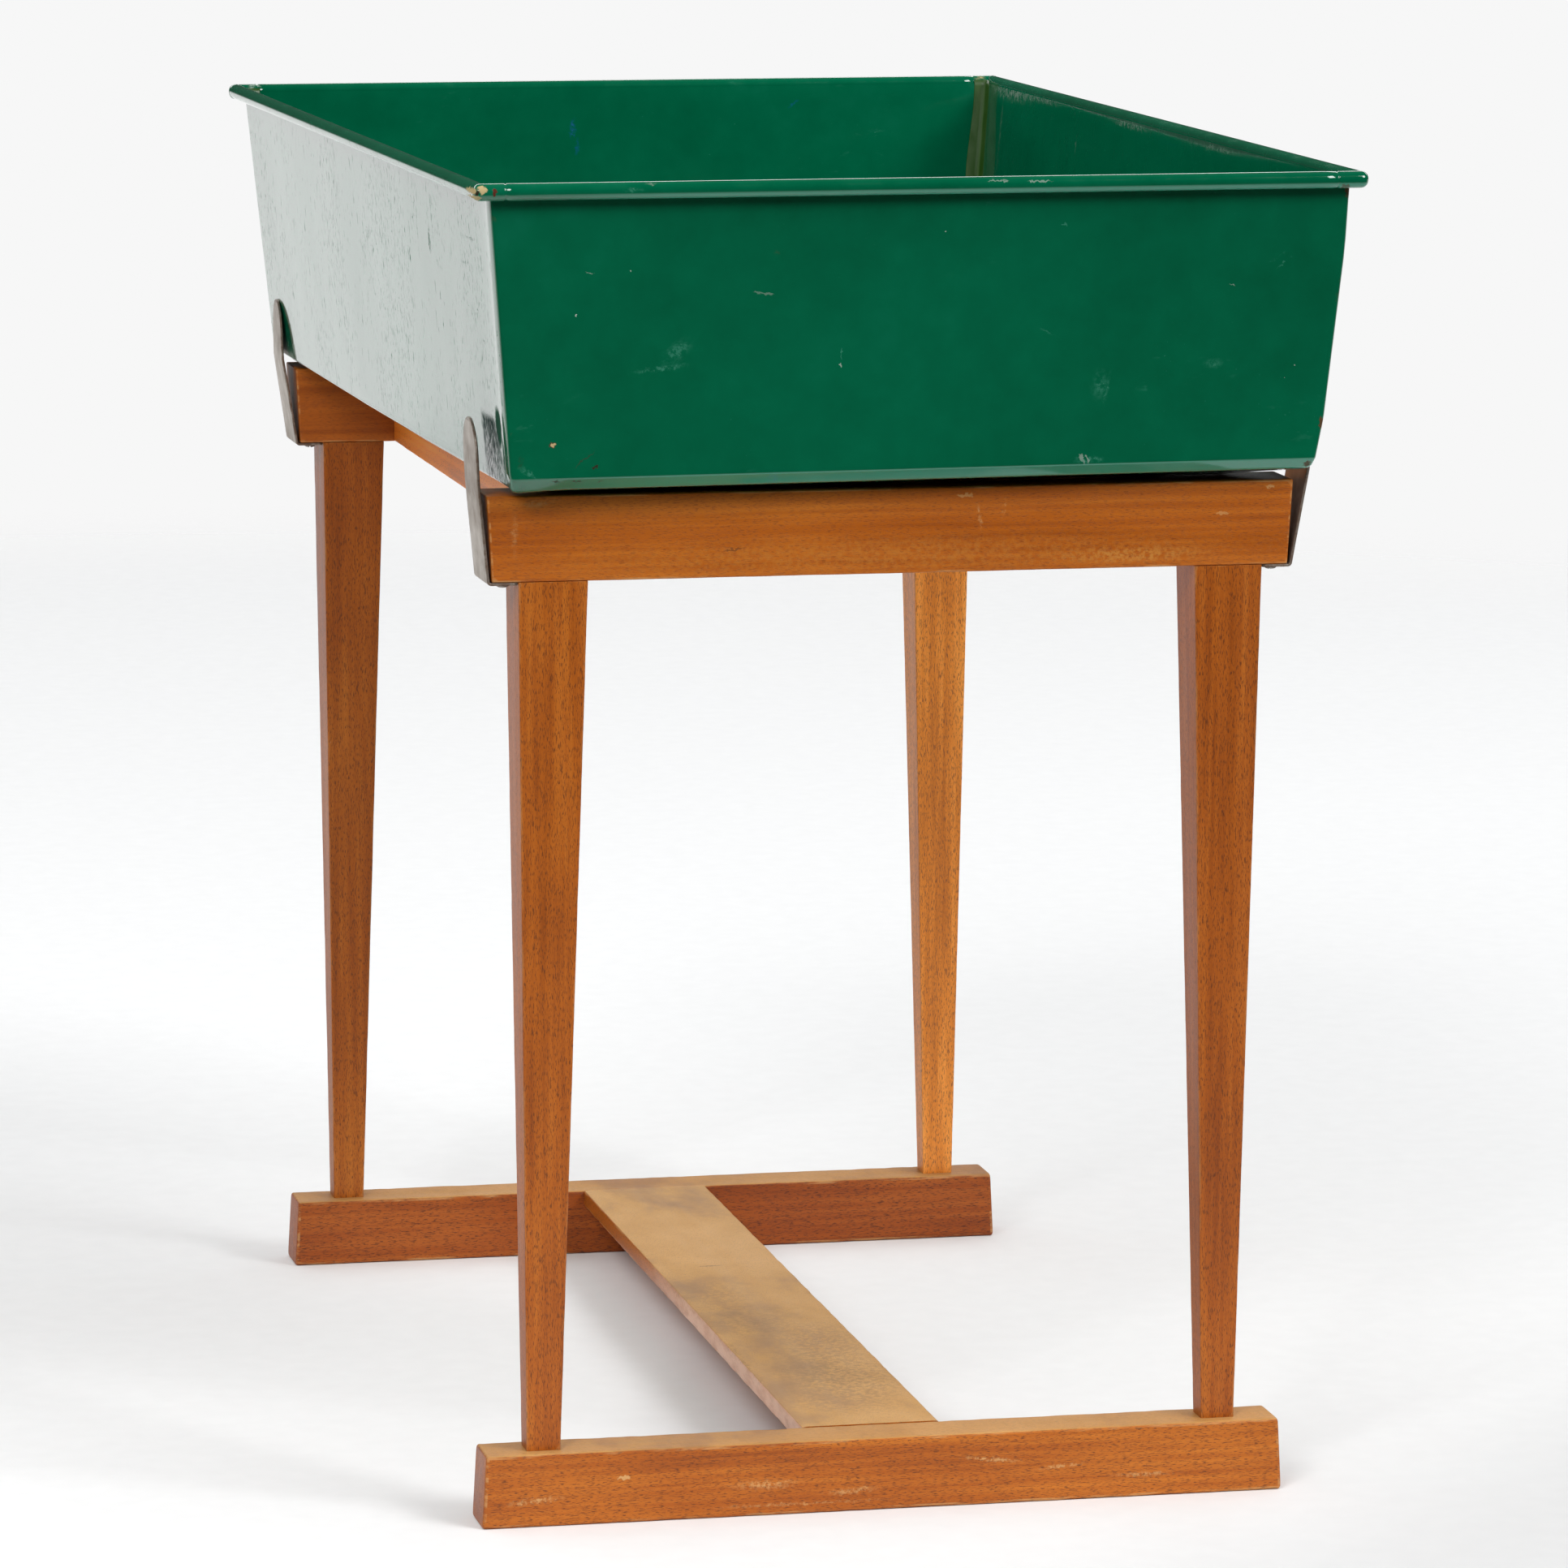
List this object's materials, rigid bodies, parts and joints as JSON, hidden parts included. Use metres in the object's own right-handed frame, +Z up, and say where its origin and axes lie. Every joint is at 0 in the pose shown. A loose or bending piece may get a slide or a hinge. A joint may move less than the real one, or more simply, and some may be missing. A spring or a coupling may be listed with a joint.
{
  "type": "planter trough on wooden stand",
  "caption": "Open flared green sheet-metal trough with a rolled rim, resting on a wooden trestle stand and held in place by bent steel strap clips.",
  "frame": {"origin": "point on the floor under the centre of the stand and of the trough", "axes": "+X to the right across the stand, +Y to the rear along the trough, +Z up"},
  "size_m": [0.5152, 0.8094, 0.7503],
  "materials": {
    "wood": "satin",
    "worn_wood": "worn satin",
    "dowel_wood": "plain",
    "green_paint": "gloss",
    "strap_steel": "worn satin",
    "screw_steel": "satin",
    "rod_steel": "satin",
    "solder": "semi-gloss"
  },
  "bodies": {
    "stand": {"front_top_rail": "wood", "rear_top_rail": "wood", "left_side_rail": "wood", "right_side_rail": "wood", "front_left_leg": "wood", "front_right_leg": "wood", "rear_left_leg": "wood", "rear_right_leg": "wood", "front_foot_rail": "wood", "rear_foot_rail": "wood", "stretcher_board": "worn_wood", "side_rail_dowels": "dowel_wood", "stretcher_dowels": "dowel_wood", "front_left_clip_foot": "strap_steel", "front_right_clip_foot": "strap_steel", "rear_left_clip_foot": "strap_steel", "rear_right_clip_foot": "strap_steel", "clip_screws": "screw_steel"},
    "trough": {"tray_pan": "green_paint", "rim_rods": "rod_steel", "corner_solder": "solder"},
    "front_left_clip": {"front_left_clip_arm": "strap_steel"},
    "front_right_clip": {"front_right_clip_arm": "strap_steel"},
    "rear_left_clip": {"rear_left_clip_arm": "strap_steel"},
    "rear_right_clip": {"rear_right_clip_arm": "strap_steel"}
  },
  "joints": [
    {"name": "trough_lift", "type": "slide", "parent": "stand", "child": "trough", "axis": [0, 0, 1], "range_m": [0, 0.2]},
    {"name": "front_left_clip_flex", "type": "hinge", "parent": "stand", "child": "front_left_clip", "pos_m": [-0.2273, -0.338, 0.5406], "axis": [0, -1, 0], "range_deg": [-3, 10], "stiffness_Nm_per_rad": 20},
    {"name": "front_right_clip_flex", "type": "hinge", "parent": "stand", "child": "front_right_clip", "pos_m": [0.2282, -0.338, 0.5406], "axis": [0, 1, 0], "range_deg": [0, 10], "stiffness_Nm_per_rad": 20},
    {"name": "rear_left_clip_flex", "type": "hinge", "parent": "stand", "child": "rear_left_clip", "pos_m": [-0.2282, 0.338, 0.5406], "axis": [0, -1, 0], "range_deg": [0, 10], "stiffness_Nm_per_rad": 20},
    {"name": "rear_right_clip_flex", "type": "hinge", "parent": "stand", "child": "rear_right_clip", "pos_m": [0.2273, 0.338, 0.5406], "axis": [0, 1, 0], "range_deg": [-3, 10], "stiffness_Nm_per_rad": 20}
  ]
}
